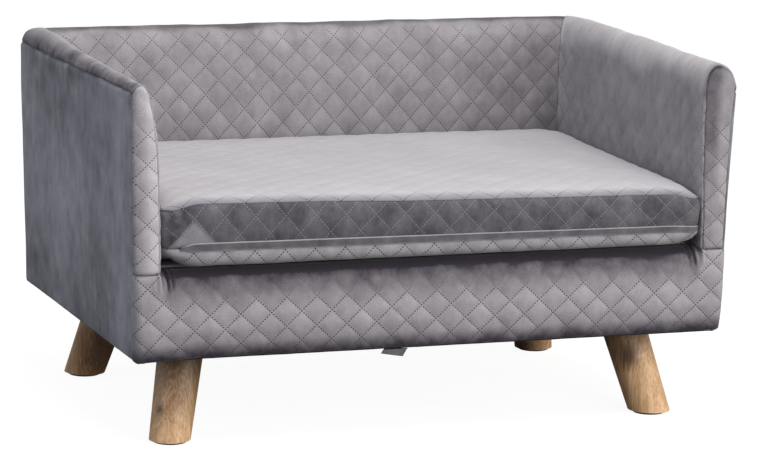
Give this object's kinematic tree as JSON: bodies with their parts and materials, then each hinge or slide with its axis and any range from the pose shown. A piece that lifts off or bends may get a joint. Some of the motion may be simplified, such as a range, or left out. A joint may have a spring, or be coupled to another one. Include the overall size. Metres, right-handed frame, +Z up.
{
  "type": "dog sofa bed",
  "caption": "Small upholstered sofa for a dog: quilted velvet arms and back round a loose seat cushion, on splayed tapered wood legs.",
  "frame": {"origin": "on the floor under the middle of the sofa", "axes": "+X to the right along the seat as seen from the front, +Y to the rear, +Z up"},
  "size_m": [0.717, 0.483, 0.415],
  "materials": {
    "quilted_velvet": "matte",
    "smooth_velvet": "matte",
    "cushion_velvet": "matte",
    "foam": "matte",
    "wadding": "matte",
    "deck_cloth": "matte",
    "dust_cloth": "matte",
    "tab_cloth": "matte",
    "plywood": "matte",
    "frame_pine": "matte",
    "leg_pine": "satin",
    "glide_plastic": "matte",
    "zinc_steel": "satin",
    "zip_cloth": "matte",
    "zip_nylon": "satin",
    "slider_metal": "satin"
  },
  "bodies": {
    "root": {"right_arm_front_band": "quilted_velvet", "left_arm_front_band": "quilted_velvet", "front_cover": "quilted_velvet", "back_inner_cover": "quilted_velvet", "right_arm_inner_cover": "quilted_velvet", "left_arm_inner_cover": "quilted_velvet", "right_arm_outer_cover": "smooth_velvet", "left_arm_outer_cover": "smooth_velvet", "back_outer_cover": "smooth_velvet", "right_arm_foam": "foam", "left_arm_foam": "foam", "front_foam": "foam", "back_foam": "foam", "deck_wadding": "wadding", "deck_cover": "deck_cloth", "dust_cover": "dust_cloth", "care_tab": "tab_cloth", "right_side_panel": "plywood", "left_side_panel": "plywood", "back_panel": "plywood", "deck_board": "plywood", "right_front_corner_block": "frame_pine", "left_front_corner_block": "frame_pine", "right_rear_corner_block": "frame_pine", "left_rear_corner_block": "frame_pine", "front_rail": "frame_pine", "rear_rail": "frame_pine", "middle_batten": "frame_pine", "right_front_leg": "leg_pine", "left_front_leg": "leg_pine", "right_rear_leg": "leg_pine", "left_rear_leg": "leg_pine", "right_front_glide": "glide_plastic", "left_front_glide": "glide_plastic", "right_rear_glide": "glide_plastic", "left_rear_glide": "glide_plastic", "panel_screws": "zinc_steel", "deck_screws": "zinc_steel", "leg_nuts": "zinc_steel", "leg_bolts": "zinc_steel"},
    "cushion": {"cushion_foam": "foam", "cushion_top_cover": "cushion_velvet", "cushion_boxing": "cushion_velvet", "cushion_bottom_cover": "cushion_velvet", "cushion_front_strip": "cushion_velvet", "zip_tape": "zip_cloth", "zip_chain": "zip_nylon"},
    "slider": {"zip_slider": "slider_metal"}
  },
  "joints": [
    {"name": "cushion_lift", "type": "slide", "parent": "root", "child": "cushion", "axis": [0, 0, 1], "range_m": [0, 0.25]},
    {"name": "zip_slide", "type": "slide", "parent": "cushion", "child": "slider", "axis": [-1, 0, 0], "range_m": [0, 0.48]}
  ]
}
